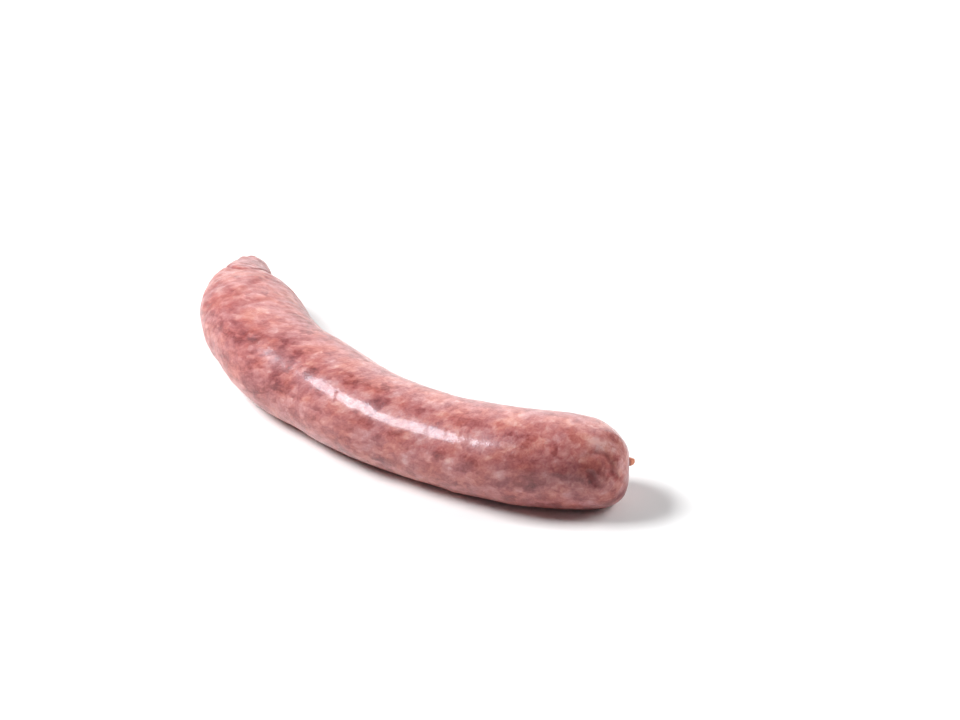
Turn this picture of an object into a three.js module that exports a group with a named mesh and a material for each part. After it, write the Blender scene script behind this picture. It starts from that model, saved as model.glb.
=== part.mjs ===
// One raw coarse sausage lying on a flat surface. The casing is bent in the plane that it rests on,
// twisted off to a pleated knob at one end and tied to a blunt dome with a dried nub at the other.
// Millimetres, +Z up, +X from the twisted end towards the tied end, origin at the bottom centre.

import * as THREE from 'three';
import { mergeVertices } from 'three/addons/utils/BufferGeometryUtils.js';

// Centre line and girth, at even steps from the twisted end to the tied end
const LENGTH = 203;
const HEADINGS = [-48, -48, -23, -22, -1, -2, 11, 16, 25, 42, 46];
const RADII = [16.3, 15.9, 17.0, 16.8, 16.1, 15.6, 14.8, 14.5, 15.0, 15.0, 13.3];
const MIDDLE_RADIUS = 15.6;
const BEND_STEPS = 800;

// How each end closes: the length over which it narrows, and the power of its curve
const TWISTED_CLOSE = { length: 47, power: 1.58 };
const TIED_CLOSE = { length: 13, power: 2.2 };

// How the sausage lies: its weight flattens a narrow strip, one tip lifts a little and the other droops,
// but for the very pole of its dome, where the nub sits high
const SINK = 1.0;
const FLOOR_BLEND = 0.5;
const TWISTED_TIP_LIFT = { height: 1.1, fade: 20 };
const TIED_TIP_LIFT = { height: -1.3, fade: 15 };
const POLE_LIFT = { height: 2.6, fade: 2.2 };

// Low lumps of the coarse filling, which die away at the tips
const LUMPS = { waves: 14, height: 0.05, shortest: 9, longest: 24, mostAround: 5, seed: 7 };
const LUMP_CLEAR = { from: 2, to: 12 };

// The twisted end: a pleated knob, with a crease that climbs over the top of the casing behind it
const TWIST_CREASE = { along: 14, climb: 17, top: 82, spread: 38, depth: 0.9, halfWidth: 1.7 };
const TWIST_CREASE_CLEAR = { from: 4, to: 12 };
const PLEATS = { count: 9, height: 0.4, rise: [1.5, 4.5], fall: [7, 15], turn: 6 };
const STUB = { length: 3.2, radius: 1.5 };

// The tied end: puckers that run into a shallow dimple, and the dried nub of casing in it
const PUCKERS = { count: 8, height: 0.28, rise: [1, 3], fall: [3, 9] };
const DIMPLE = { depth: 0.5, reach: 3.4 };
const NUB = { length: 2.6, radius: 1.4, lobes: 3, lobeShare: 0.14 };

// Creases and dents in the casing: along in mm from the twisted tip, around in degrees from the inner
// side of the bend by way of the top
const CREASES = [
  { from: [195, 139], to: [198.5, 174], depth: 0.45, halfWidth: 1.3 },
  { from: [189.5, 163], to: [191.5, 173], depth: 0.5, halfWidth: 1.7 },
  { from: [22, 205], to: [31, 168], depth: 0.4, halfWidth: 1.5 },
  { from: [47, 40], to: [60, 22], depth: 0.35, halfWidth: 1.6 },
];

// Fineness of the mesh: the sides of a ring, the smallest radius, and the steps between rings
const SIDES = 44;
const LEAST_RADIUS = 0.45;
const PEG_TOP = 0.5;
const PEG_STEP = 0.7;
const TWISTED_STEP = 1.5;
const TWISTED_REACH = 34;
const BODY_STEP = 2.3;
const DOME_STEP = 1.2;
const DOME_REACH = 19;
const NUB_FOOT = 1.6;
const NUB_STEP = 0.55;

// 0 before the first value, 1 after the second, smooth between
const ease = ([low, high], value) => THREE.MathUtils.smoothstep(value, low, high);

// Smooth curve through values at even steps, at a share from 0 to 1 of the way
function smoothTable(values, share) {
  const last = values.length - 1;
  const place = THREE.MathUtils.clamp(share, 0, 1) * last;
  const k = Math.min(Math.floor(place), last - 1);
  const u = place - k;
  const slope = (i) => {
    if (i === 0) return values[1] - values[0];
    if (i === last) return values[last] - values[last - 1];
    return (values[i + 1] - values[i - 1]) / 2;
  };
  const uu = u * u;
  const uuu = uu * u;
  return (
    (2 * uuu - 3 * uu + 1) * values[k] +
    (uuu - 2 * uu + u) * slope(k) +
    (3 * uu - 2 * uuu) * values[k + 1] +
    (uuu - uu) * slope(k + 1)
  );
}

// Share of the full radius at a distance from an end
function closing(distance, { length, power }) {
  const u = THREE.MathUtils.clamp(distance / length, 0, 1);
  return Math.pow(1 - Math.pow(1 - u, power), 1 / power);
}

// A stub or nub that stands on an end: its radius at a distance beyond that end
function pegRadius(beyond, { length, radius }) {
  const u = THREE.MathUtils.clamp(beyond / length, -1, 1);
  return radius * Math.sqrt(1 - u * u);
}

// Radius of the plain casing at a distance from the twisted tip, ends and pegs included
function casingRadius(along) {
  const inside = THREE.MathUtils.clamp(along, 0, LENGTH);
  const full = smoothTable(RADII, inside / LENGTH);
  const skin = full * closing(inside, TWISTED_CLOSE) * closing(LENGTH - inside, TIED_CLOSE);
  return Math.max(skin, pegRadius(-along, STUB), pegRadius(along - LENGTH, NUB));
}

// Small repeatable random numbers
function seededRandom(seed) {
  let state = seed;
  return () => {
    state = (state * 1664525 + 1013904223) % 4294967296;
    return state / 4294967296;
  };
}

// Waves that add up to the lumps of the filling, whole in number around the casing
function makeLumpWaves({ waves, shortest, longest, mostAround, seed }) {
  const random = seededRandom(seed);
  return Array.from({ length: waves }, () => ({
    wavelength: shortest + (longest - shortest) * random(),
    around: Math.round((2 * random() - 1) * mostAround),
    phase: 2 * Math.PI * random(),
  }));
}

const lumpWaves = makeLumpWaves(LUMPS);

function lumpHeight(along, angle) {
  let height = 0;
  for (const { wavelength, around, phase } of lumpWaves) {
    height += LUMPS.height * Math.sin((2 * Math.PI * along) / wavelength + around * angle + phase);
  }
  return height;
}

// Depth of the crease that climbs over the top behind the knob
function twistCrease(along, degrees) {
  const off = (degrees - TWIST_CREASE.top) / TWIST_CREASE.spread;
  const line = TWIST_CREASE.along + TWIST_CREASE.climb * Math.exp(-off * off);
  const miss = (along - line) / TWIST_CREASE.halfWidth;
  return TWIST_CREASE.depth * Math.exp(-miss * miss);
}

// Pleats that wind round the knob
function pleatHeight(along, angle) {
  const share = ease(PLEATS.rise, along) * (1 - ease(PLEATS.fall, along));
  const turned = angle + THREE.MathUtils.degToRad(PLEATS.turn) * along;
  return PLEATS.height * share * Math.cos(PLEATS.count * turned);
}

// Puckers round the nub
function puckerHeight(toTip, angle) {
  const share = ease(PUCKERS.rise, toTip) * (1 - ease(PUCKERS.fall, toTip));
  return PUCKERS.height * share * Math.cos(PUCKERS.count * angle);
}

// Depth of one straight crease on the unrolled casing
function creaseDepth({ from, to, depth, halfWidth }, along, degrees) {
  const unrolled = (place, around) =>
    new THREE.Vector2(place, THREE.MathUtils.degToRad(around) * MIDDLE_RADIUS);
  const start = unrolled(...from);
  const run = unrolled(...to).sub(start);
  const point = unrolled(along, degrees).sub(start);
  const share = THREE.MathUtils.clamp(point.dot(run) / run.lengthSq(), 0, 1);
  const miss = point.addScaledVector(run, -share).length() / halfWidth;
  return depth * Math.exp(-miss * miss);
}

// Radius of the finished surface at a place along and an angle around
function surfaceRadius(along, angle) {
  const plain = casingRadius(along);
  if (along <= 0) return plain;
  if (along >= LENGTH) return plain * (1 + NUB.lobeShare * Math.cos(NUB.lobes * angle));
  const degrees = THREE.MathUtils.euclideanModulo(THREE.MathUtils.radToDeg(angle), 360);
  const toTip = LENGTH - along;
  const clear = [LUMP_CLEAR.from, LUMP_CLEAR.to];
  let relief = ease(clear, along) * ease(clear, toTip) * lumpHeight(along, angle);
  relief += pleatHeight(along, angle) + puckerHeight(toTip, angle);
  const creaseClear = [TWIST_CREASE_CLEAR.from, TWIST_CREASE_CLEAR.to];
  relief -= ease(creaseClear, along) * twistCrease(along, degrees);
  for (const crease of CREASES) {
    relief -= creaseDepth(crease, along, degrees);
  }
  return Math.max(plain + relief, LEAST_RADIUS);
}

// Points of the centre line, and its heading at each, walked in short steps
function makeCentreLine() {
  const step = LENGTH / BEND_STEPS;
  const points = [new THREE.Vector2(0, 0)];
  const headings = [];
  for (let i = 0; i <= BEND_STEPS; i++) {
    headings.push(THREE.MathUtils.degToRad(smoothTable(HEADINGS, i / BEND_STEPS)));
  }
  for (let i = 0; i < BEND_STEPS; i++) {
    const middle = (headings[i] + headings[i + 1]) / 2;
    const stride = new THREE.Vector2(Math.cos(middle), Math.sin(middle)).multiplyScalar(step);
    points.push(points[i].clone().add(stride));
  }
  return { points, headings };
}

const centreLine = makeCentreLine();

// Place and heading of the centre line at a distance along it, straight on past either end
function centreAt(along) {
  const inside = THREE.MathUtils.clamp(along, 0, LENGTH);
  const place = (inside / LENGTH) * BEND_STEPS;
  const k = Math.min(Math.floor(place), BEND_STEPS - 1);
  const { points, headings } = centreLine;
  const heading = THREE.MathUtils.lerp(headings[k], headings[k + 1], place - k);
  const onward = new THREE.Vector2(Math.cos(heading), Math.sin(heading));
  const point = points[k].clone().lerp(points[k + 1], place - k);
  return { point: point.addScaledVector(onward, along - inside), heading };
}

// Height of the centre line: the body's radius less the sink, with each tip's own lift
function centreHeight(along) {
  const inside = THREE.MathUtils.clamp(along, 0, LENGTH);
  const lift = (tip, distance) => tip.height * Math.exp(-distance / tip.fade);
  const twisted = lift(TWISTED_TIP_LIFT, inside);
  const tied = lift(TIED_TIP_LIFT, LENGTH - inside) + lift(POLE_LIFT, LENGTH - inside);
  return smoothTable(RADII, inside / LENGTH) - SINK + twisted + tied;
}

// Anything below the surface that the sausage lies on is pressed flat against it
function pressFlat(height) {
  if (height > FLOOR_BLEND) return height;
  if (height < -FLOOR_BLEND) return 0;
  return (height + FLOOR_BLEND) ** 2 / (4 * FLOOR_BLEND);
}

// The dimple draws the middle of the dome, and the nub with it, back into the casing
function drawnBack(along, radius) {
  const near = 1 - ease([0, DIMPLE.reach], radius);
  const late = ease([LENGTH - 2 * DIMPLE.reach, LENGTH], along);
  return along - DIMPLE.depth * near * late;
}

// Distances along at which the casing has a ring of vertices
function ringPlaces() {
  const stretches = [
    { from: PEG_TOP - STUB.length, to: 1, step: PEG_STEP },
    { from: 1, to: TWISTED_REACH, step: TWISTED_STEP },
    { from: TWISTED_REACH, to: LENGTH - DOME_REACH, step: BODY_STEP },
    { from: LENGTH - DOME_REACH, to: LENGTH - NUB_FOOT, step: DOME_STEP },
    { from: LENGTH - NUB_FOOT, to: LENGTH + NUB.length - PEG_TOP, step: NUB_STEP },
  ];
  const places = stretches.flatMap(({ from, to, step }) => {
    const count = Math.round((to - from) / step);
    return Array.from({ length: count }, (_, i) => from + ((to - from) * i) / count);
  });
  return [...places, LENGTH + NUB.length - PEG_TOP];
}

// A lathe of rings, each vertex of which is then moved to its place on the bent casing
function makeSausageGeometry() {
  const profile = ringPlaces().map((along) => new THREE.Vector2(1, along));
  profile.unshift(new THREE.Vector2(0, -STUB.length));
  profile.push(new THREE.Vector2(0, LENGTH + NUB.length));
  const lathe = new THREE.LatheGeometry(profile, SIDES);
  lathe.deleteAttribute('normal');
  lathe.deleteAttribute('uv');
  const position = lathe.getAttribute('position');
  for (let i = 0; i < position.count; i++) {
    const side = position.getX(i);
    const along = position.getY(i);
    const up = position.getZ(i);
    const onAxis = Math.hypot(side, up) < 1e-6;
    const angle = Math.atan2(up, -side);
    const radius = onAxis ? 0 : surfaceRadius(along, angle);
    const { point, heading } = centreAt(drawnBack(along, radius));
    const across = radius * Math.cos(angle);
    position.setXYZ(
      i,
      point.x - Math.sin(heading) * across,
      point.y + Math.cos(heading) * across,
      pressFlat(centreHeight(along) + radius * Math.sin(angle)),
    );
  }
  return dropFlatTriangles(mergeVertices(lathe, 1e-4));
}

// Triangles that share a corner twice, as at the two tips, are left out
function dropFlatTriangles(geometry) {
  const index = geometry.getIndex().array;
  const kept = [];
  for (let i = 0; i < index.length; i += 3) {
    const [a, b, c] = index.slice(i, i + 3);
    if (a !== b && b !== c && c !== a) kept.push(a, b, c);
  }
  geometry.setIndex(kept);
  return geometry;
}

// Puts the origin at the bottom centre of the shape
function centreOnOrigin(geometry) {
  geometry.computeBoundingBox();
  const { min, max } = geometry.boundingBox;
  geometry.translate(-(min.x + max.x) / 2, -(min.y + max.y) / 2, -min.z);
  return geometry;
}

const rawMeat = new THREE.MeshStandardMaterial({ color: 0xc98781, roughness: 0.35, metalness: 0 });

const sausage = new THREE.Mesh(centreOnOrigin(makeSausageGeometry()), rawMeat);
sausage.geometry.computeVertexNormals();
sausage.name = 'sausage';

const group = new THREE.Group();
group.add(sausage);

export default group;
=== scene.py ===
"""Looks of one raw coarse sausage: a moist casing over mottled meat, bent, twisted off and tied.

The skin is modelled straight along +X, ring by ring, then given its lumps, pleats, creases and fine
wrinkles, pressed flat where it rests and bent along its centre line. A place on it is a distance
along, from the twisted tip, and an angle around, from the inner side of the bend by way of the top.
All sizes are in millimetres, and MM turns them into metres.
"""

import logging
import math
from dataclasses import dataclass, field
from enum import Enum

import bmesh
import bpy
import numpy as np
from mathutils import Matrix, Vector, noise


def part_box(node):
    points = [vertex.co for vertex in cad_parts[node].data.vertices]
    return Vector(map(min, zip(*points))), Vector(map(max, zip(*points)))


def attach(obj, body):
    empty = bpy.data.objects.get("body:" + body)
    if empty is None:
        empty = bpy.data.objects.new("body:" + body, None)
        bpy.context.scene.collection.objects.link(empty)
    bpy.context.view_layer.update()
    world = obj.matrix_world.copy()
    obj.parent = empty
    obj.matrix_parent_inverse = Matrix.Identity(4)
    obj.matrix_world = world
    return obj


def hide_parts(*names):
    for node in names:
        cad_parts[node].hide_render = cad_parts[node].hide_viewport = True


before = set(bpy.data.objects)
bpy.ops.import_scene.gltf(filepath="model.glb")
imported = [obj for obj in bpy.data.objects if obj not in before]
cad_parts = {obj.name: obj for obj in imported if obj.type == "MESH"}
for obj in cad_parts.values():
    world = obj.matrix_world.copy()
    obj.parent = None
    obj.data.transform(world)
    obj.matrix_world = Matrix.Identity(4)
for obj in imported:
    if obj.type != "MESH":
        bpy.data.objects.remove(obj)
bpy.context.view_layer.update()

MM = 0.001
NODE = "sausage"

log = logging.getLogger("sausage")


def ease(low: float, high: float, value: np.ndarray) -> np.ndarray:
    """Smooth step.

    Args:
        low: value at which the step starts.
        high: value at which it is complete.
        value: where to read it.

    Returns:
        0 up to low, 1 past high, smooth between.
    """
    u = np.clip((value - low) / (high - low), 0.0, 1.0)
    return u * u * (3 - 2 * u)


def smooth_table(values: tuple[float, ...], share: np.ndarray) -> np.ndarray:
    """Smooth curve through values at even steps.

    Args:
        values: the table, from the twisted end to the tied end.
        share: places along it, from 0 to 1.

    Returns:
        The curve's values at those places.
    """
    y = np.asarray(values, float)
    last = len(y) - 1
    slope = np.gradient(y)
    place = np.clip(share, 0.0, 1.0) * last
    k = np.minimum(np.floor(place).astype(int), last - 1)
    u = place - k
    return (
        (2 * u**3 - 3 * u**2 + 1) * y[k]
        + (u**3 - 2 * u**2 + u) * slope[k]
        + (3 * u**2 - 2 * u**3) * y[k + 1]
        + (u**3 - u**2) * slope[k + 1]
    )


def bump(miss: np.ndarray) -> np.ndarray:
    """Bell curve of height 1 at no miss."""
    return np.exp(-miss * miss)


@dataclass(frozen=True)
class Close:
    """How an end of the casing closes: the length over which it narrows, and its curve's power."""

    length: float
    power: float

    def share(self, distance: np.ndarray) -> np.ndarray:
        """Share of the full radius at a distance from the end."""
        u = np.clip(distance / self.length, 0.0, 1.0)
        return (1 - (1 - u) ** self.power) ** (1 / self.power)


@dataclass(frozen=True)
class Peg:
    """A stub or nub of casing that stands on an end."""

    length: float
    radius: float

    def at(self, beyond: np.ndarray) -> np.ndarray:
        """Radius at a distance beyond the end."""
        u = np.clip(beyond / self.length, -1.0, 1.0)
        return self.radius * np.sqrt(1 - u * u)


@dataclass(frozen=True)
class Lift:
    """How far a tip rises above the body's own line, and how fast that fades."""

    height: float
    fade: float

    def at(self, distance: np.ndarray) -> np.ndarray:
        """Rise at a distance from the tip."""
        return self.height * np.exp(-distance / self.fade)


@dataclass(frozen=True)
class Crease:
    """A straight crease or dent on the unrolled casing, or a ridge where its depth is under 0.

    start and end are along in mm and around in degrees, and shade says how much painted shade darkens the
    colour in the crease.
    """

    start: tuple[float, float]
    end: tuple[float, float]
    depth: float
    half_width: float
    shade: float = 1.0

    def closeness(self, along: np.ndarray, degrees: np.ndarray, radius: float) -> np.ndarray:
        """How near each place is to the crease.

        Args:
            along: distances from the twisted tip.
            degrees: angles around the casing, from 0 to 360.
            radius: radius of the casing, which turns degrees into a distance.

        Returns:
            1 in the crease, falling to 0 away from it.
        """
        scale = math.radians(1) * radius
        start = np.array([self.start[0], self.start[1] * scale])
        run = np.array([self.end[0], self.end[1] * scale]) - start
        place = np.stack([along, degrees * scale], 1) - start
        share = np.clip(place @ run / (run @ run), 0.0, 1.0)
        miss = np.linalg.norm(place - share[:, None] * run, axis=1)
        return bump(miss / self.half_width)


@dataclass
class Form:
    """The sausage's shape.

    The driving dimensions are those of its solid. The depth of the dimple, and how far the tied dome
    stands back and swells below its middle, are the skin's own.
    """

    length: float = 203.0
    headings: tuple[float, ...] = (-48, -48, -23, -22, -1, -2, 11, 16, 25, 42, 46)
    radii: tuple[float, ...] = (16.3, 15.9, 17.0, 16.8, 16.1, 15.6, 14.8, 14.5, 15.0, 15.0, 13.3)
    middle_radius: float = 15.6
    twisted: Close = Close(47, 1.58)
    tied: Close = Close(13, 2.2)
    sink: float = 1.0
    floor_blend: float = 0.5
    twisted_lift: Lift = Lift(1.1, 20)
    tied_lift: Lift = Lift(-1.3, 15)
    stub: Peg = Peg(3.2, 1.5)
    pole_lift: Lift = Lift(2.6, 2.2)
    nub: Peg = Peg(2.6, 1.4)
    dimple_depth: float = 0.9
    dimple_reach: float = 3.4
    dome_back: float = 0.2
    dome_swell: float = 0.2

    def radius(self, along: np.ndarray) -> np.ndarray:
        """Radius of the plain casing, with its pegs.

        Args:
            along: distances from the twisted tip.

        Returns:
            Radii there.
        """
        inside = np.clip(along, 0.0, self.length)
        full = smooth_table(self.radii, inside / self.length)
        skin = full * self.twisted.share(inside) * self.tied.share(self.length - inside)
        return np.maximum(skin, np.maximum(self.stub.at(-along), self.nub.at(along - self.length)))

    def centre_height(self, along: np.ndarray) -> np.ndarray:
        """Height of the centre line above the floor.

        Args:
            along: distances from the twisted tip.

        Returns:
            Heights there.
        """
        inside = np.clip(along, 0.0, self.length)
        to_tip = self.length - inside
        tips = self.twisted_lift.at(inside) + self.tied_lift.at(to_tip) + self.pole_lift.at(to_tip)
        return smooth_table(self.radii, inside / self.length) - self.sink + tips

    def pressed(self, height: np.ndarray) -> np.ndarray:
        """Heights with all that is below the floor pressed flat against it."""
        soft = (height + self.floor_blend) ** 2 / (4 * self.floor_blend)
        return np.where(height > self.floor_blend, height, np.where(height < -self.floor_blend, 0.0, soft))

    def drawn_back(self, along: np.ndarray, radius: np.ndarray, rise: np.ndarray) -> np.ndarray:
        """Distances along, with the tied dome fuller below and its middle drawn into a dimple.

        Args:
            along: distances from the twisted tip.
            radius: finished radii there.
            rise: heights over the centre line.

        Returns:
            The finished distances.
        """
        near = 1 - ease(0.0, self.dimple_reach, radius)
        late = ease(self.length - 2 * self.dimple_reach, self.length, along)
        on_dome = ease(self.length - self.tied.length, self.length, along)
        fuller = self.dome_swell * np.maximum(-rise, 0.0) - self.dome_back
        return along - self.dimple_depth * near * late + fuller * on_dome

    def centre_line(self, steps: int) -> np.ndarray:
        """The centre line in plan.

        Args:
            steps: number of short straight steps that it is walked in.

        Returns:
            Its points in millimetres, from the twisted tip at the origin.
        """
        heading = np.radians(smooth_table(self.headings, np.linspace(0.0, 1.0, steps + 1)))
        middle = (heading[1:] + heading[:-1]) / 2
        strides = np.stack([np.cos(middle), np.sin(middle)], 1) * self.length / steps
        return np.concatenate([np.zeros((1, 2)), np.cumsum(strides, axis=0)])


@dataclass(frozen=True)
class Mark:
    """A larger piece of meat that shows through the casing, or a patch of painted light or shade.

    along and around are its middle, in mm and degrees, and length and width its half sizes in mm.
    lean says how dark it is: over 0 for lean meat or painted shade, under 0 for fat or painted light.
    """

    along: float
    around: float
    length: float
    width: float
    lean: float

    def closeness(self, along: np.ndarray, degrees: np.ndarray, radius: float) -> np.ndarray:
        """1 in the middle of the mark, falling to 0 away from it."""
        across = (degrees - self.around) * math.radians(1) * radius
        return np.exp(-(((along - self.along) / self.length) ** 2) - (across / self.width) ** 2)


MEAT_AND_PAINTED_LIGHT_MARKS = (
    Mark(74.6, 128, 2.6, 2.4, 0.12),
    Mark(70, 136, 7, 5, 0.04),
    Mark(76, 162, 1.3, 1.3, 0.13),
    Mark(81.5, 121, 2, 1.5, 0.08),
    Mark(98.3, 125, 2.0, 1.8, 0.09),
    Mark(78.3, 188, 1.8, 1.8, 0.1),
    Mark(55, 150, 5, 2.2, 0.09),
    Mark(35, 141, 3.5, 1.5, 0.08),
    Mark(43, 140, 3.5, 1.5, 0.09),
    Mark(48, 104, 2, 3.5, 0.07),
    Mark(106, 120, 1.6, 1.4, 0.05),
    Mark(111.5, 116, 1.6, 1.6, 0.05),
    Mark(126, 122, 2.4, 1.3, 0.05),
    Mark(134.6, 120, 3, 1.7, 0.09),
    Mark(149, 118, 5, 2.6, 0.08),
    Mark(124.6, 99, 1.6, 1.2, 0.08),
    Mark(147.7, 166, 1.3, 1.6, 0.15),
    Mark(116.5, 186, 2, 2, 0.1),
    Mark(129, 199, 3, 2.4, 0.06),
    Mark(155, 199, 1.5, 1.5, 0.1),
    Mark(160, 157, 2.2, 2, 0.06),
    Mark(168.4, 201, 1.4, 2, 0.1),
    Mark(176, 178, 2.6, 3, 0.03),
    Mark(182.7, 151, 2.4, 1.8, 0.13),
    # Painted shade: dark patch in the dent on the tied dome.
    Mark(190.9, 168, 1.3, 2.8, 0.3),
    # Painted highlight: pale patch on the ridge beside the curved crease.
    Mark(199.2, 157, 0.8, 1.8, -0.2),
    Mark(179.7, 145, 2, 2, 0.06),
    Mark(173.6, 122, 2, 1.5, 0.06),
    # Painted highlight: pale glossy spot on the tied dome.
    Mark(197.5, 124, 1.4, 1.8, -0.14),
    Mark(22.8, 80, 1.6, 1.6, 0.16),
    Mark(14, 62, 4, 4, 0.1),
    Mark(41, 145, 3, 2.4, 0.08),
    Mark(9, 90, 8, 16, 0.06),
    Mark(64, 99, 5, 3, -0.05),
    Mark(184.6, 132, 3, 2, 0.08),
    # Painted sheen: pale band along the top.
    Mark(83, 93, 15, 4, -0.05),
    Mark(41.5, 127, 2.4, 2, -0.12),
    Mark(43, 129, 4.5, 4, -0.09),
    Mark(67, 110, 9, 6, -0.07),
    Mark(77, 107, 3, 3, -0.05),
    Mark(70.8, 182, 1.6, 2, -0.13),
    Mark(109, 171, 2.4, 2, -0.1),
    Mark(151.5, 169, 2, 2.8, -0.17),
    Mark(166.8, 176, 1.5, 1.5, -0.16),
    Mark(170, 141, 2, 2, -0.1),
    Mark(189, 186, 2.6, 2.6, -0.12),
    # Painted sheen: pale band along the top.
    Mark(120, 92, 14, 4, -0.05),
    # Broad, faint marks that make long stretches of the skin paler.
    Mark(28, 110, 12, 14, -0.08),
    Mark(52, 104, 12, 7, -0.05),
    Mark(50, 112, 18, 13, -0.03),
    Mark(150, 78, 30, 7, -0.05),
    Mark(145, 120, 52, 9, -0.05),
    Mark(166, 106, 34, 6, -0.03),
    Mark(128, 166, 24, 8, -0.04),
    Mark(170, 160, 9, 4, -0.04),
    # Painted shade: darker along the inner upper side towards the twisted end.
    Mark(72, 52, 14, 5, 0.05),
    # Painted light: paler top of the tied dome, where the lamps leave it dim.
    Mark(190, 108, 9, 9, -0.1),
)


@dataclass
class Relief:
    """What stands on the plain casing: lumps, pleats, puckers, creases and wrinkles.

    A pair of numbers is a stretch along the casing, in mm, over which a form grows or fades. The
    finer wrinkles lie over the plain ones, and finer_scale says how much smaller they are each way.
    """

    form: Form
    plain_end: tuple[float, float] = (2.0, 12.0)
    lump_waves: int = 14
    lump_height: float = 0.022
    lump_shortest: float = 9.0
    lump_longest: float = 24.0
    lump_most_around: int = 5
    lump_seed: int = 7
    grain_height: float = 0.05
    grain_size: float = 3.4
    crease_along: float = 14.0
    crease_climb: float = 17.0
    crease_top: float = 82.0
    crease_spread: float = 38.0
    crease_depth: float = 1.0
    crease_half_width: float = 1.3
    crease_grows: tuple[float, float] = (4.0, 12.0)
    pleats: int = 9
    pleat_height: float = 0.22
    pleat_turn: float = 6.0
    pleat_grows: tuple[float, float] = (1.5, 4.5)
    pleat_fades: tuple[float, float] = (7.0, 15.0)
    puckers: int = 8
    pucker_height: float = 0.28
    pucker_grows: tuple[float, float] = (1.0, 3.0)
    pucker_fades: tuple[float, float] = (3.0, 9.0)
    nub_lobes: int = 3
    nub_lobe_share: float = 0.14
    wrinkle_height: float = 0.36
    wrinkle_step: float = 3.2
    wrinkle_run: float = 15.0
    wrinkle_lean: float = 0.35
    finer_scale: tuple[float, float, float] = (1.9, 2.3, 2.3)
    finer_shift: float = 31.7
    finer_share: float = 0.45
    wrinkle_grows: tuple[float, float] = (3.0, 10.0)
    wrinkle_fades: tuple[float, float] = (0.5, 6.0)
    slack: tuple[float, float] = (30.0, 95.0)
    slack_middle: float = 60.0
    slack_spread: float = 70.0
    slack_least: float = 0.35
    taut: float = 0.22
    gathered: tuple[float, float] = (188.0, 200.0)
    gathered_more: float = 0.25
    least_radius: float = 0.45
    creases: tuple[Crease, ...] = (
        Crease((188.8, 141), (191.8, 135), 0.15, 0.9, 0.4),
        Crease((191.8, 135), (194.9, 136), 0.3, 0.9, 0.7),
        Crease((194.9, 136), (196.4, 146), 0.45, 1.0, 0.9),
        Crease((196.4, 146), (196.5, 158), 0.45, 1.1, 1.0),
        Crease((196.5, 158), (198.0, 167), 0.45, 1.1, 1.0),
        Crease((198.0, 167), (199.4, 172), 0.3, 0.9, 0.7),
        Crease((198.9, 140), (200.0, 162), -0.5, 1.0, 0.0),
        Crease((197.2, 120), (197.8, 128), -0.2, 1.4, 0.0),
        Crease((190.3, 161), (191.6, 174), 0.55, 1.2, 0.8),
        Crease((110.7, 133), (111.3, 145), 0.07, 0.42),
        Crease((143.0, 130), (143.3, 142), 0.05, 0.4, 0.5),
        Crease((149.0, 128), (149.4, 141), 0.06, 0.4, 0.5),
        Crease((153.6, 128), (154.0, 140), 0.05, 0.4, 0.5),
        Crease((26.0, 120), (33.0, 94), 0.45, 1.6, 0.5),
        Crease((33.0, 94), (41.0, 62), 0.4, 1.5, 0.5),
        Crease((51.0, 112), (47.5, 90), 0.35, 1.5, 0.4),
        Crease((47.5, 90), (43.5, 62), 0.35, 1.4, 0.4),
        Crease((33.5, 152), (37.5, 130), 0.4, 1.3, 0.6),
        Crease((39.0, 156), (44.0, 136), 0.35, 1.2, 0.5),
        Crease((58.0, 112), (60.5, 84), 0.25, 1.4, 0.3),
        Crease((22, 205), (31, 168), 0.4, 1.2),
        Crease((47, 40), (60, 22), 0.35, 1.4),
    )

    def lumps(self, along: np.ndarray, angle: np.ndarray) -> np.ndarray:
        """Low waves that add up to the lumps of the coarse filling.

        Args:
            along: distances from the twisted tip.
            angle: angles around the casing, in radians.

        Returns:
            Heights of the lumps.
        """
        state = self.lump_seed
        draws = []
        for _ in range(3 * self.lump_waves):
            state = (state * 1664525 + 1013904223) % 4294967296
            draws.append(state / 4294967296)
        height = np.zeros_like(along)
        for size, around, phase in np.reshape(draws, (-1, 3)):
            wavelength = self.lump_shortest + (self.lump_longest - self.lump_shortest) * size
            turns = math.floor((2 * around - 1) * self.lump_most_around + 0.5)
            swing = 2 * math.pi * (along / wavelength + phase) + turns * angle
            height += self.lump_height * np.sin(swing)
        return height

    def twist_crease(self, along: np.ndarray, degrees: np.ndarray) -> np.ndarray:
        """Closeness to the crease that climbs over the top behind the knob.

        Args:
            along: distances from the twisted tip.
            degrees: angles around the casing, from 0 to 360.

        Returns:
            1 in the crease, falling to 0 away from it.
        """
        climb = self.crease_climb * bump((degrees - self.crease_top) / self.crease_spread)
        miss = (along - self.crease_along - climb) / self.crease_half_width
        return bump(miss) * ease(*self.crease_grows, along)

    def knob_pleats(self, along: np.ndarray, angle: np.ndarray) -> np.ndarray:
        """Pleats that wind round the knob.

        Args:
            along: distances from the twisted tip.
            angle: angles around the casing, in radians.

        Returns:
            Heights of the pleats.
        """
        share = ease(*self.pleat_grows, along) * (1 - ease(*self.pleat_fades, along))
        turned = angle + math.radians(self.pleat_turn) * along
        return self.pleat_height * share * np.cos(self.pleats * turned)

    def nub_puckers(self, to_tip: np.ndarray, angle: np.ndarray) -> np.ndarray:
        """Puckers round the nub."""
        share = ease(*self.pucker_grows, to_tip) * (1 - ease(*self.pucker_fades, to_tip))
        return self.pucker_height * share * np.cos(self.puckers * angle)

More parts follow.
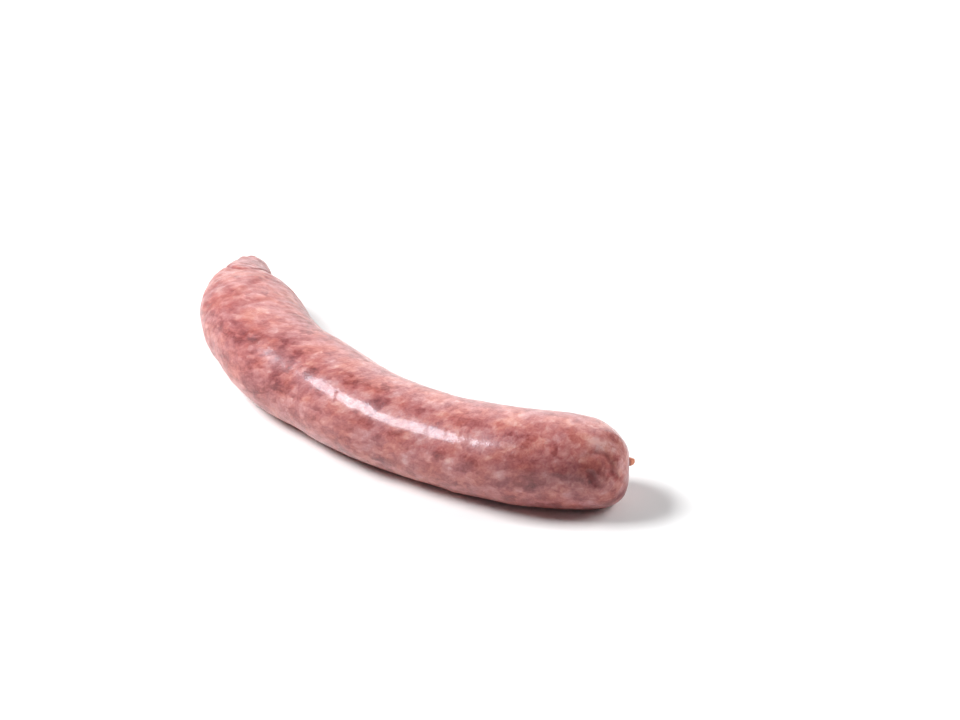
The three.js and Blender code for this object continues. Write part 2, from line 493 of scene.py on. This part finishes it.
    def wrinkles(self, along: np.ndarray, degrees: np.ndarray, rest: np.ndarray) -> np.ndarray:
        """Fine wrinkles of the casing, which run round it and lean with the twist.

        They are deepest where the casing is slack, on the inner side towards the twisted end.

        Args:
            along: distances from the twisted tip.
            degrees: angles around the casing.
            rest: places on the straight skin, in millimetres.

        Returns:
            Heights, with sharp valleys between round ridges.
        """
        lean = along - self.wrinkle_lean * (rest[:, 1] + rest[:, 2])
        around = rest[:, 1:] / self.wrinkle_run
        coarse = np.column_stack([lean / self.wrinkle_step, around])
        fine = coarse * self.finer_scale + self.finer_shift
        heights = np.array([
            abs(noise.noise(Vector(c))) + self.finer_share * abs(noise.noise(Vector(f)))
            for c, f in zip(coarse, fine)
        ])
        inner = bump((np.mod(degrees + 180, 360) - 180 - self.slack_middle) / self.slack_spread)
        slack = (1 - ease(*self.slack, along)) * (self.slack_least + (1 - self.slack_least) * inner)
        gathered = self.gathered_more * ease(*self.gathered, along)
        share = np.clip(slack + self.taut + gathered, 0.0, 1.0)
        share *= ease(*self.wrinkle_grows, along)
        share *= ease(*self.wrinkle_fades, self.form.length - along)
        return self.wrinkle_height * share * heights

    def grains(self, rest: np.ndarray) -> np.ndarray:
        """Small bumps where pieces of meat press against the casing."""
        places = rest / self.grain_size
        return self.grain_height * np.array([noise.noise(Vector(p)) for p in places])

    def surface(
        self, along: np.ndarray, angle: np.ndarray, rest: np.ndarray
    ) -> tuple[np.ndarray, np.ndarray]:
        """The finished radius, and how deep in a fold each place is, which the material also paints as
        shade.

        Args:
            along: distances from the twisted tip.
            angle: angles around the casing, in radians.
            rest: places on the straight skin, in millimetres.

        Returns:
            Radii, and folds from 0 to 1.
        """
        form = self.form
        plain = form.radius(along)
        degrees = np.mod(np.degrees(angle), 360)
        to_tip = form.length - along
        clear = ease(*self.plain_end, along) * ease(*self.plain_end, to_tip)
        relief = clear * (self.lumps(along, angle) + self.grains(rest))
        relief += self.knob_pleats(along, angle) + self.nub_puckers(to_tip, angle)
        relief += self.wrinkles(along, degrees, rest)
        fold = self.twist_crease(along, degrees)
        relief -= self.crease_depth * fold
        for crease in self.creases:
            near = crease.closeness(along, degrees, form.middle_radius)
            relief -= crease.depth * near
            fold = np.maximum(fold, crease.shade * near)
        on_skin = (along > 0) & (to_tip > 0)
        lobes = plain * (1 + self.nub_lobe_share * np.cos(self.nub_lobes * angle))
        pegs = np.where(to_tip <= 0, lobes, plain)
        radius = np.where(on_skin, np.maximum(plain + relief, self.least_radius), pegs)
        return radius, np.where(on_skin, fold, 0.0)


class Band(Enum):
    """Stretches of the casing, each with its own spacing of rings: from, to and step, in mm."""

    STUB = (-2.7, 1.0, 0.7)
    TWISTED = (1.0, 34.0, 1.6)
    BODY = (34.0, 184.0, 2.2)
    DOME = (184.0, 201.4, 1.3)
    NUB = (201.4, 205.1, 0.53)


@dataclass
class Skin:
    """The casing with the meat in it, one closed piece."""

    form: Form
    relief: Relief
    sides: int = 48
    levels: int = 2
    bend_steps: int = 400
    name: str = "sausage_skin"
    tip: Vector = field(default_factory=Vector)

    def build(self) -> bpy.types.Object:
        """Models the skin and bends it into place.

        Returns:
            The finished piece, in the row frame.
        """
        piece = self.extrude_rings()
        self.apply(piece, "SUBSURF", levels=self.levels, render_levels=self.levels)
        self.store_relief(piece)
        self.apply(piece, "NODES", node_group=self.raise_group())
        self.bend(piece)
        self.place(piece)
        bpy.ops.object.shade_smooth()
        return piece

    def ring_places(self) -> list[float]:
        """Distances along at which the cage has a ring.

        Returns:
            The distances, from the stub to the nub.
        """
        places: list[float] = []
        for band in Band:
            start, end, step = band.value
            count = round((end - start) / step)
            places += [start + (end - start) * i / count for i in range(count)]
        return [*places, Band.NUB.value[1]]

    def extrude_rings(self) -> bpy.types.Object:
        """Extrudes one ring of vertices along +X, sizing it at each step, and closes both tips.

        Returns:
            The straight cage.
        """
        places = self.ring_places()
        radii = self.form.radius(np.array(places)) * MM
        heights = self.form.centre_height(np.array(places)) * MM
        bpy.ops.object.select_all(action="DESELECT")
        bpy.ops.mesh.primitive_circle_add(
            vertices=self.sides,
            radius=radii[0],
            location=(places[0] * MM, 0, heights[0]),
            rotation=(0, math.pi / 2, 0),
        )
        piece = bpy.context.object
        piece.name = piece.data.name = self.name
        bpy.ops.object.transform_apply(location=True, rotation=True, scale=True)
        bpy.ops.object.mode_set(mode="EDIT")
        bpy.ops.mesh.select_mode(type="VERT")
        bpy.ops.mesh.select_all(action="SELECT")
        for i in range(1, len(places)):
            step = ((places[i] - places[i - 1]) * MM, 0, heights[i] - heights[i - 1])
            bpy.ops.mesh.extrude_region_move(TRANSFORM_OT_translate={"value": step})
            grow = radii[i] / radii[i - 1]
            centre = (places[i] * MM, 0, heights[i])
            bpy.ops.transform.resize(value=(1, grow, grow), center_override=centre)
        self.close_tip(self.form.length + self.form.nub.length - places[-1])
        self.select_first_ring(piece, places[0] * MM)
        self.close_tip(-self.form.stub.length - places[0])
        bpy.ops.mesh.select_all(action="SELECT")
        bpy.ops.mesh.normals_make_consistent(inside=False)
        bpy.ops.object.mode_set(mode="OBJECT")
        return piece

    def close_tip(self, distance: float) -> None:
        """Extrudes the selected ring by a distance along +X and merges it to a point."""
        bpy.ops.mesh.extrude_region_move(TRANSFORM_OT_translate={"value": (distance * MM, 0, 0)})
        bpy.ops.mesh.merge(type="CENTER")

    def select_first_ring(self, piece: bpy.types.Object, place: float) -> None:
        """Selects the first ring of vertices.

        Args:
            piece: the cage, in edit mode.
            place: where the ring is along +X, in metres.
        """
        bpy.ops.mesh.select_all(action="DESELECT")
        mesh = bmesh.from_edit_mesh(piece.data)
        for vertex in mesh.verts:
            vertex.select = abs(vertex.co.x - place) < 0.01 * MM
        mesh.select_flush_mode()
        bmesh.update_edit_mesh(piece.data)

    def apply(self, piece: bpy.types.Object, kind: str, **settings: object) -> None:
        """Adds a modifier and applies it.

        Args:
            piece: the piece that it changes.
            kind: the modifier's type name.
            settings: its settings.
        """
        modifier = piece.modifiers.new(kind.lower(), kind)
        for setting, value in settings.items():
            setattr(modifier, setting, value)
        bpy.context.view_layer.objects.active = piece
        bpy.ops.object.modifier_apply(modifier=modifier.name)

    def store_relief(self, piece: bpy.types.Object) -> None:
        """Writes what each vertex needs for its finished place and its finish, as attributes.

        rest is its place on the straight skin, fold how deep in a fold it is, which the material also
        paints as shade, lean how dark the meat under it is or how much painted light or shade lies there,
        and move the way to its finished place.

        Args:
            piece: the straight skin, subdivided.
        """
        mesh = piece.data
        flat = np.zeros(len(mesh.vertices) * 3)
        mesh.vertices.foreach_get("co", flat)
        place = flat.reshape(-1, 3) / MM
        along = place[:, 0]
        centre = self.form.centre_height(along)
        rest = np.stack([along, place[:, 1], place[:, 2] - centre], 1)
        angle = np.arctan2(rest[:, 2], rest[:, 1])
        radius, fold = self.relief.surface(along, angle, rest)
        radius = np.where(np.hypot(rest[:, 1], rest[:, 2]) < 1e-4, 0.0, radius)
        rise = radius * np.sin(angle)
        over_pole = rise + self.form.pole_lift.at(np.maximum(self.form.length - along, 0.0))
        finished = np.column_stack([
            self.form.drawn_back(along, radius, over_pole),
            radius * np.cos(angle),
            self.form.pressed(centre + rise),
        ])
        self.store(mesh, "rest", "FLOAT_VECTOR", rest)
        self.store(mesh, "fold", "FLOAT", fold)
        degrees = np.mod(np.degrees(angle), 360)
        # lean adds up the meat marks and the patches of painted light and shade.
        meat_and_painted_light = [m.lean * m.closeness(along, degrees, self.form.middle_radius) for m in MEAT_AND_PAINTED_LIGHT_MARKS]
        self.store(mesh, "lean", "FLOAT", np.sum(meat_and_painted_light, axis=0))
        self.store(mesh, "move", "FLOAT_VECTOR", (finished - place) * MM)

    @staticmethod
    def store(mesh: bpy.types.Mesh, name: str, kind: str, values: np.ndarray) -> None:
        """Writes a named attribute on a mesh's vertices.

        Args:
            mesh: the mesh.
            name: the attribute's name.
            kind: its data type.
            values: a number or a vector for each vertex.
        """
        attribute = mesh.attributes.new(name, kind, "POINT")
        slot = "vector" if kind == "FLOAT_VECTOR" else "value"
        attribute.data.foreach_set(slot, np.asarray(values, np.float32).ravel())

    def raise_group(self) -> bpy.types.NodeTree:
        """Geometry nodes that move each vertex by its own move attribute.

        Returns:
            The node group.
        """
        group = bpy.data.node_groups.new("raise_skin", "GeometryNodeTree")
        group.interface.new_socket("Geometry", in_out="INPUT", socket_type="NodeSocketGeometry")
        group.interface.new_socket("Geometry", in_out="OUTPUT", socket_type="NodeSocketGeometry")
        start = group.nodes.new("NodeGroupInput")
        end = group.nodes.new("NodeGroupOutput")
        setter = group.nodes.new("GeometryNodeSetPosition")
        reader = group.nodes.new("GeometryNodeInputNamedAttribute")
        reader.data_type = "FLOAT_VECTOR"
        reader.inputs["Name"].default_value = "move"
        group.links.new(start.outputs["Geometry"], setter.inputs["Geometry"])
        group.links.new(reader.outputs["Attribute"], setter.inputs["Offset"])
        group.links.new(setter.outputs["Geometry"], end.inputs["Geometry"])
        return group

    def bend(self, piece: bpy.types.Object) -> None:
        """Bends the straight skin along the centre line with a Curve modifier.

        Args:
            piece: the straight skin, with its relief.
        """
        points = self.form.centre_line(self.bend_steps) * MM
        line = bpy.data.curves.new("centre_line", "CURVE")
        line.dimensions = "3D"
        line.twist_mode = "Z_UP"
        spline = line.splines.new("POLY")
        spline.points.add(len(points) - 1)
        for point, (x, y) in zip(spline.points, points):
            point.co = (x, y, 0, 1)
        guide = bpy.data.objects.new("centre_line", line)
        bpy.context.scene.collection.objects.link(guide)
        self.apply(piece, "CURVE", object=guide, deform_axis="POS_X")
        bpy.data.objects.remove(guide)
        bpy.data.curves.remove(line)
        piece.data.attributes.remove(piece.data.attributes["move"])

    def place(self, piece: bpy.types.Object) -> None:
        """Moves the bent skin onto its solid's place, and keeps where its twisted tip then is.

        Args:
            piece: the bent skin.
        """
        low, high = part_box(NODE)
        corners = [Vector(c) for c in piece.bound_box]
        own = (corners[0] + corners[6]) / 2
        self.tip = (low + high) / 2 - own
        self.tip.z = 0
        piece.location = self.tip
        bpy.ops.object.select_all(action="DESELECT")
        piece.select_set(True)
        bpy.context.view_layer.objects.active = piece
        bpy.ops.object.transform_apply(location=True, rotation=True, scale=True)


Socket = bpy.types.NodeSocket
Colour = tuple[float, float, float]


def linear(red: int, green: int, blue: int) -> tuple[float, float, float, float]:
    """A colour as the linear values that a shader reads.

    Args:
        red: red, from 0 to 255.
        green: green, from 0 to 255.
        blue: blue, from 0 to 255.

    Returns:
        The three linear values and full opacity.
    """

    def one(value: int) -> float:
        """One channel's linear value."""
        share = value / 255
        return share / 12.92 if share <= 0.04045 else ((share + 0.055) / 1.055) ** 2.4

    return one(red), one(green), one(blue), 1.0


@dataclass
class Paint:
    """Builds a material's nodes, a line for each."""

    material: bpy.types.Material

    def node(self, kind: str, inputs: dict[str | int, object], **settings: object) -> bpy.types.Node:
        """Adds a node and joins up its inputs.

        Args:
            kind: the node's type name, after ShaderNode.
            inputs: sockets or constants for its inputs, by name or number.
            settings: the node's own options.

        Returns:
            The node.
        """
        tree = self.material.node_tree
        node = tree.nodes.new("ShaderNode" + kind)
        for name, value in settings.items():
            setattr(node, name, value)
        for name, value in inputs.items():
            if isinstance(value, bpy.types.NodeSocket):
                tree.links.new(value, node.inputs[name])
            else:
                node.inputs[name].default_value = value
        return node

    def maths(self, operation: str, a: object, b: object = 0.0) -> Socket:
        """One sum on two values."""
        return self.node("Math", {0: a, 1: b}, operation=operation).outputs[0]

    def noise(self, place: Socket, size: float, detail: float = 2.0, rough: float = 0.5) -> Socket:
        """Cloudy noise of a size in millimetres."""
        inputs = {"Vector": place, "Scale": 1 / size, "Detail": detail, "Roughness": rough}
        return self.node("TexNoise", inputs).outputs["Fac"]

    def ramp(self, value: Socket, stops: dict[float, tuple[float, ...]]) -> Socket:
        """Colours along a value.

        Args:
            value: what they are read by.
            stops: a colour for each of some values, smooth between them.

        Returns:
            The colour.
        """
        node = self.node("ValToRGB", {"Fac": value})
        elements = node.color_ramp.elements
        places = sorted(stops)
        for i, at in enumerate(places):
            element = elements[i] if i < 2 else elements.new(at)
            element.position = at
            element.color = stops[at]
        return node.outputs["Color"]

    def spread(
        self, value: Socket, low: float, high: float, to_low: float = 0.0, to_high: float = 1.0
    ) -> Socket:
        """A smooth step from one level to another.

        Args:
            value: what it is read by.
            low: value at which the step starts.
            high: value at which it is complete.
            to_low: level before the step.
            to_high: level after it.

        Returns:
            The level.
        """
        inputs = {"Value": value, "From Min": low, "From Max": high, "To Min": to_low, "To Max": to_high}
        return self.node("MapRange", inputs, interpolation_type="SMOOTHSTEP").outputs["Result"]

    def mix(self, share: object, a: object, b: object, blend: str = "MIX") -> Socket:
        """Two colours mixed."""
        inputs = {"Fac": share, "Color1": a, "Color2": b}
        return self.node("MixRGB", inputs, blend_type=blend).outputs["Color"]


@dataclass(frozen=True)
class RawMeat:
    """Coarse meat under a moist casing.

    Its mottling adds up pieces, bits, clouds and a grain, each with its size in mm and its share.
    A pair of numbers is a stretch along the casing, in mm, over which a finish grows or fades.
    """

    darkest: tuple[float, ...] = linear(112, 50, 53)
    lean: tuple[float, ...] = linear(150, 76, 76)
    pink: tuple[float, ...] = linear(180, 106, 103)
    pale: tuple[float, ...] = linear(196, 130, 126)
    fat: tuple[float, ...] = linear(214, 164, 157)
    warm: tuple[float, ...] = (1.0, 0.9, 0.82, 1.0)
    plain: tuple[float, ...] = (1.0, 1.0, 1.0, 1.0)
    cool: tuple[float, ...] = (0.9, 0.92, 0.98, 1.0)
    # Dried casing of the nub and stub: partly its real orange colour, partly painted light, made paler to
    # stand in for light shining through the nub.
    dried: tuple[float, ...] = linear(240, 156, 122)
    piece: float = 3.6
    piece_share: float = 0.2
    bit: float = 1.7
    bit_share: float = 0.24
    cloud: float = 12.0
    cloud_share: float = 0.22
    grain: float = 0.8
    grain_share: float = 0.34
    grain_grows: tuple[float, float] = (20.0, 90.0)
    grain_least: float = 0.4
    hue: float = 7.0
    wobble: float = 2.2
    wobble_size: float = 2.5
    lean_fades: tuple[float, float] = (60.0, 200.0)
    lean_most: float = 0.55
    lean_least: float = 0.15
    # Painted shade: how far the colour is darkened towards lean red in creases and folds.
    fold_painted_shade: float = 0.7
    smoothest: float = 0.28
    roughest: float = 0.44
    rough_patch: float = 2.4
    fold_roughness: float = 0.4
    coat: float = 0.4
    coat_grows: tuple[float, float] = (90.0, 104.0)
    coat_least: float = 0.4
    pore: float = 0.5
    pore_share: float = 1.5
    nub_dries: tuple[float, float] = (202.9, 204.4)
    stub_dries: tuple[float, float] = (0.8, -0.4)
    stub_dryness: float = 0.5

    def make(self) -> bpy.types.Material:
        """Builds the material.

        Returns:
            The material.
        """
        material = bpy.data.materials.new("raw_meat_in_casing")
        material.use_nodes = True
        paint = Paint(material)
        shader = material.node_tree.nodes["Principled BSDF"]
        rest = paint.node("Attribute", {}, attribute_name="rest").outputs["Vector"]
        fold = paint.node("Attribute", {}, attribute_name="fold").outputs["Fac"]
        axes = paint.node("SeparateXYZ", {0: rest}).outputs
        colour = self.meat(paint, self.leaned(paint, axes), axes[0])
        # Painted shade in the creases: the colour darkens towards lean red with the fold.
        crease_shaded_colour = paint.mix(paint.maths("MULTIPLY", fold, self.fold_painted_shade), colour, self.lean)
        finished = paint.mix(self.tips(paint, axes), crease_shaded_colour, self.dried)
        links = material.node_tree.links
        links.new(finished, shader.inputs["Base Color"])
        links.new(self.gloss(paint, rest, fold), shader.inputs["Roughness"])
        links.new(self.moist(paint, axes, fold), shader.inputs["Coat Weight"])
        links.new(self.skin(paint, axes), shader.inputs["Normal"])
        shader.inputs["IOR"].default_value = 1.4
        shader.inputs["Subsurface Weight"].default_value = 0.25
        shader.inputs["Subsurface Radius"].default_value = (1.0, 0.45, 0.35)
        shader.inputs["Subsurface Scale"].default_value = 2.0 * MM
        shader.inputs["Coat Roughness"].default_value = 0.14
        shader.inputs["Sheen Weight"].default_value = 0.25
        shader.inputs["Sheen Roughness"].default_value = 0.4
        shader.inputs["Sheen Tint"].default_value = linear(255, 225, 222)
        return material

    def leaned(self, paint: Paint, axes: list[Socket]) -> Socket:
        """Places on the straight skin, leaning with the twist towards the twisted end.

        Args:
            paint: what builds the nodes.
            axes: the place's three parts.

        Returns:
            The leaning place.
        """
        lean = paint.spread(axes[0], *self.lean_fades, self.lean_most, self.lean_least)
        across = paint.maths("ADD", axes[1], axes[2])
        along = paint.maths("SUBTRACT", axes[0], paint.maths("MULTIPLY", lean, across))
        return paint.node("CombineXYZ", {0: along, 1: axes[1], 2: axes[2]}).outputs[0]

    def meat(self, paint: Paint, place: Socket, along: Socket) -> Socket:
        """Mottling of lean meat and fat, in soft-edged pieces of a few sizes.

        Args:
            paint: what builds the nodes.
            place: the leaning place on the straight skin.
            along: the distance from the twisted tip.

        Returns:
            The meat's colour.
        """
        place = self.wobbled(paint, place)
        pieces = self.pieces(paint, place, self.piece)
        bits = self.pieces(paint, place, self.bit)
        cloud = paint.noise(place, self.cloud, 2.0, 0.5)
        grain = self.grains(paint, place, along)
        mixed = paint.maths("MULTIPLY", pieces, self.piece_share)
        shares = (bits, self.bit_share), (cloud, self.cloud_share), (grain, self.grain_share)
        for part, share in shares:
            mixed = paint.maths("ADD", mixed, paint.maths("MULTIPLY", part, share))
        # lean holds the meat marks and also the patches of painted light and shade.
        lean = paint.node("Attribute", {}, attribute_name="lean").outputs["Fac"]
        mixed = paint.maths("SUBTRACT", mixed, lean)
        stops = {0.24: self.darkest, 0.37: self.lean, 0.49: self.pink, 0.6: self.pale, 0.74: self.fat}
        tones = {0.36: self.cool, 0.5: self.plain, 0.62: self.warm}
        hue = paint.ramp(paint.noise(place, self.hue, 2.0, 0.5), tones)
        return paint.mix(1.0, paint.ramp(mixed, stops), hue, "MULTIPLY")

    def wobbled(self, paint: Paint, place: Socket) -> Socket:
        """Places moved a little to and fro, so that the meat's edges are ragged.

        Args:
            paint: what builds the nodes.
            place: the place to move.

        Returns:
            The moved place.
        """
        cloud = paint.node("TexNoise", {"Vector": place, "Scale": 1 / self.wobble_size, "Detail": 2.0})
        middle = {0: cloud.outputs["Color"], 1: (0.5, 0.5, 0.5)}
        shift = paint.node("VectorMath", middle, operation="SUBTRACT").outputs[0]
        scaled = {0: shift, "Scale": self.wobble}
        push = paint.node("VectorMath", scaled, operation="SCALE").outputs[0]
        return paint.node("VectorMath", {0: place, 1: push}, operation="ADD").outputs[0]

    def grains(self, paint: Paint, place: Socket, along: Socket) -> Socket:
        """Fine grain of the meat, fainter towards the twisted end.

        Args:
            paint: what builds the nodes.
            place: the place to read it at.
            along: the distance from the twisted tip.

        Returns:
            The grain, about 0.5.
        """
        grain = paint.noise(place, self.grain, 3.0, 0.6)
        strength = paint.spread(along, *self.grain_grows, self.grain_least, 1.0)
        centred = paint.maths("MULTIPLY", paint.maths("SUBTRACT", grain, 0.5), strength)
        return paint.maths("ADD", centred, 0.5)

    def pieces(self, paint: Paint, place: Socket, size: float) -> Socket:
        """A value for each piece of meat, with soft edges.

        Args:
            paint: what builds the nodes.
            place: the place to read it at.
            size: size of the pieces, in millimetres.

        Returns:
            The value, from 0 to 1.
        """
        inputs = {"Vector": place, "Scale": 1 / size, "Smoothness": 1.0, "Randomness": 1.0}
        cells = paint.node("TexVoronoi", inputs, feature="SMOOTH_F1").outputs["Color"]
        return paint.node("SeparateXYZ", {0: cells}).outputs[0]

    def tips(self, paint: Paint, axes: list[Socket]) -> Socket:
        """Where the casing has dried: the nub, and half as much the stub.

        Args:
            paint: what builds the nodes.
            axes: the place's three parts.

        Returns:
            How dry it is, from 0 to 1.
        """
        nub = paint.spread(axes[0], *self.nub_dries)
        stub = paint.spread(axes[0], *self.stub_dries, 0.0, self.stub_dryness)
        return paint.maths("MAXIMUM", nub, stub)

    def gloss(self, paint: Paint, rest: Socket, fold: Socket) -> Socket:
        """Roughness of the moist casing, uneven from place to place and dull in the folds.

        Args:
            paint: what builds the nodes.
            rest: the place on the straight skin.
            fold: how deep in a fold it is.

        Returns:
            The roughness.
        """
        patches = paint.noise(rest, self.rough_patch, 3.0, 0.6)
        uneven = paint.spread(patches, 0.35, 0.65, self.smoothest, self.roughest)
        return paint.maths("ADD", uneven, paint.maths("MULTIPLY", fold, self.fold_roughness))

    def moist(self, paint: Paint, axes: list[Socket], fold: Socket) -> Socket:
        """Wet film on the casing, thin towards the twisted end and gone in the folds.

        Args:
            paint: what builds the nodes.
            axes: the place's three parts.
            fold: how deep in a fold it is.

        Returns:
            The film's weight.
        """
        film = paint.spread(axes[0], *self.coat_grows, self.coat_least * self.coat, self.coat)
        return paint.maths("MULTIPLY", paint.maths("SUBTRACT", 1.0, fold), film)

    def skin(self, paint: Paint, axes: list[Socket]) -> Socket:
        """Fine wrinkles and pores of the casing.

        Args:
            paint: what builds the nodes.
            axes: the place's three parts.

        Returns:
            The surface's normal.
        """
        wrinkle = paint.noise(self.squeezed(paint, axes, 1.6, 0.35), 1.0, 3.0, 0.6)
        pore = paint.noise(self.squeezed(paint, axes, 1.2, 0.8), self.pore, 2.0, 0.6)
        height = paint.maths("ADD", wrinkle, paint.maths("MULTIPLY", pore, self.pore_share))
        inputs = {"Strength": 0.55, "Distance": 0.15 * MM, "Height": height}
        return paint.node("Bump", inputs).outputs["Normal"]

    def squeezed(self, paint: Paint, axes: list[Socket], along: float, across: float) -> Socket:
        """Places on the straight skin, scaled along and across so that a noise on them is drawn out."""
        scaled = {i: paint.maths("MULTIPLY", axes[i], across if i else along) for i in range(3)}
        return paint.node("CombineXYZ", scaled).outputs[0]


class Reach(Enum):
    """Which surfaces a light shows on."""

    MATT = (True, False)
    GLOSS = (False, True)


@dataclass(frozen=True)
class Softbox:
    """A soft light: where it stands, seen from the object, its size and how bright it is.

    size is its width and height, and reach says whether it shows as matt light or as gloss.
    """

    name: str
    azimuth: float
    elevation: float
    distance: float
    size: tuple[float, float]
    brightness: float
    reach: Reach
    tint: Colour = (1.0, 1.0, 1.0)

    @property
    def watts(self) -> float:
        """Power that gives the panel its brightness."""
        return self.brightness * math.pi * self.size[0] * self.size[1] * MM * MM


@dataclass
class Studio:
    """Pale floor, soft light and the camera, all aimed at one point set out from the twisted tip."""

    tip: Vector
    aim: tuple[float, float] = (85.1, 27.5)
    azimuth: float = 45.0
    elevation: float = 30.0
    distance: float = 885.2
    lens: float = 97.5
    boxes: tuple[Softbox, ...] = (
        Softbox("key", -52.5, 44.5, 2400.0, (1100.0, 900.0), 26.5, Reach.MATT),
        Softbox("strip", -27.0, 39.5, 2400.0, (1360.0, 720.0), 26.0, Reach.GLOSS, (0.82, 0.91, 1.0)),
        Softbox("side", 152.0, 40.0, 2600.0, (1800.0, 1000.0), 6.8, Reach.MATT),
        Softbox("edge", 144.0, 18.0, 2600.0, (1000.0, 900.0), 3.6, Reach.MATT),
        Softbox("back", 222.0, 33.0, 2600.0, (3400.0, 2900.0), 2.3, Reach.GLOSS),
    )
    fill: float = 0.06

    def direction(self, azimuth: float, elevation: float) -> Vector:
        """Unit vector from the object towards a place seen at an azimuth and elevation, in degrees."""
        turn, rise = math.radians(azimuth), math.radians(elevation)
        return Vector((math.sin(turn) * math.cos(rise), -math.cos(turn) * math.cos(rise), math.sin(rise)))

    def make(self) -> None:
        """Builds the whole set."""
        target = self.tip + Vector((self.aim[0], self.aim[1], 0)) * MM
        self.floor()
        self.world()
        for box in self.boxes:
            self.light(box, target)
        self.camera(target)

    def floor(self) -> None:
        """Lays the floor."""
        bpy.ops.object.select_all(action="DESELECT")
        bpy.ops.mesh.primitive_plane_add(size=12.0)
        plane = bpy.context.object
        plane.name = "floor"
        material = bpy.data.materials.new("white_floor")
        material.use_nodes = True
        shader = material.node_tree.nodes["Principled BSDF"]
        shader.inputs["Base Color"].default_value = (0.96, 0.965, 0.97, 1.0)
        shader.inputs["Roughness"].default_value = 0.6
        shader.inputs["Specular IOR Level"].default_value = 0.2
        plane.data.materials.append(material)

    def world(self) -> None:
        """Sets the even light that comes from all round."""
        world = bpy.data.worlds.new("studio")
        world.use_nodes = True
        background = world.node_tree.nodes["Background"]
        background.inputs["Color"].default_value = (1.0, 1.0, 1.0, 1.0)
        background.inputs["Strength"].default_value = self.fill
        bpy.context.scene.world = world
        bpy.context.scene.view_settings.view_transform = "Standard"

    def light(self, box: Softbox, target: Vector) -> None:
        """Adds a soft rectangular light.

        Args:
            box: the light.
            target: what it faces.
        """
        away = self.direction(box.azimuth, box.elevation)
        data = bpy.data.lights.new(box.name, "AREA")
        data.shape = "RECTANGLE"
        data.size, data.size_y = box.size[0] * MM, box.size[1] * MM
        data.energy = box.watts
        data.color = box.tint
        panel = bpy.data.objects.new(box.name, data)
        panel.location = target + away * box.distance * MM
        panel.rotation_euler = away.to_track_quat("Z", "Y").to_euler()
        panel.visible_diffuse, panel.visible_glossy = box.reach.value
        bpy.context.scene.collection.objects.link(panel)

    def camera(self, target: Vector) -> None:
        """Adds the camera at the photograph's angle.

        Args:
            target: what it looks at.
        """
        away = self.direction(self.azimuth, self.elevation)
        data = bpy.data.cameras.new("camera")
        data.lens = self.lens
        data.sensor_width = 36.0
        camera = bpy.data.objects.new("camera", data)
        camera.location = target + away * self.distance * MM
        camera.rotation_euler = away.to_track_quat("Z", "Y").to_euler()
        bpy.context.scene.collection.objects.link(camera)
        bpy.context.scene.camera = camera


def main() -> None:
    """Builds the sausage and its set."""
    logging.basicConfig(level=logging.INFO, format="%(name)s: %(message)s")
    form = Form()
    skin = Skin(form, Relief(form))
    piece = skin.build()
    piece.data.materials.clear()
    piece.data.materials.append(RawMeat().make())
    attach(piece, "root")
    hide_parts(NODE)
    log.info("%s: %d faces, tip at %s", piece.name, len(piece.data.polygons), tuple(skin.tip))
    Studio(skin.tip).make()


if __name__ == "__main__":
    main()
